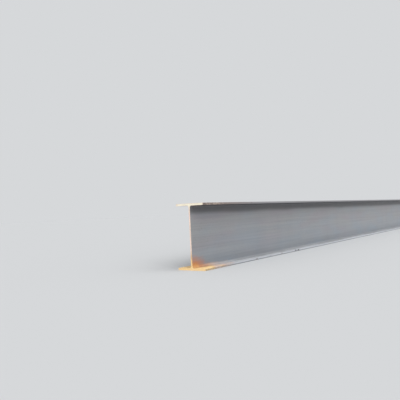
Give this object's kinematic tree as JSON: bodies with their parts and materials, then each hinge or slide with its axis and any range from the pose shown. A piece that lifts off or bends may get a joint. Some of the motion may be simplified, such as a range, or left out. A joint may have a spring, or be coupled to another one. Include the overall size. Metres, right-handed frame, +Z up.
{
  "type": "steel h-beam",
  "caption": "Straight hot-rolled steel H-beam with parallel flanges, a thin web with rounded roots, and square sawn ends.",
  "frame": {"origin": "middle of the length, on the underside of the bottom flange, under the web", "axes": "+X along the beam, +Y across the flanges, +Z up along the web from the bottom flange to the top flange"},
  "size_m": [9, 0.2, 0.4],
  "materials": {
    "rolled_steel": "hot-rolled, blue-grey mill scale with rust at the sawn ends and on the flange edges"
  },
  "bodies": {
    "root": {"h_beam": "rolled_steel"}
  },
  "joints": []
}
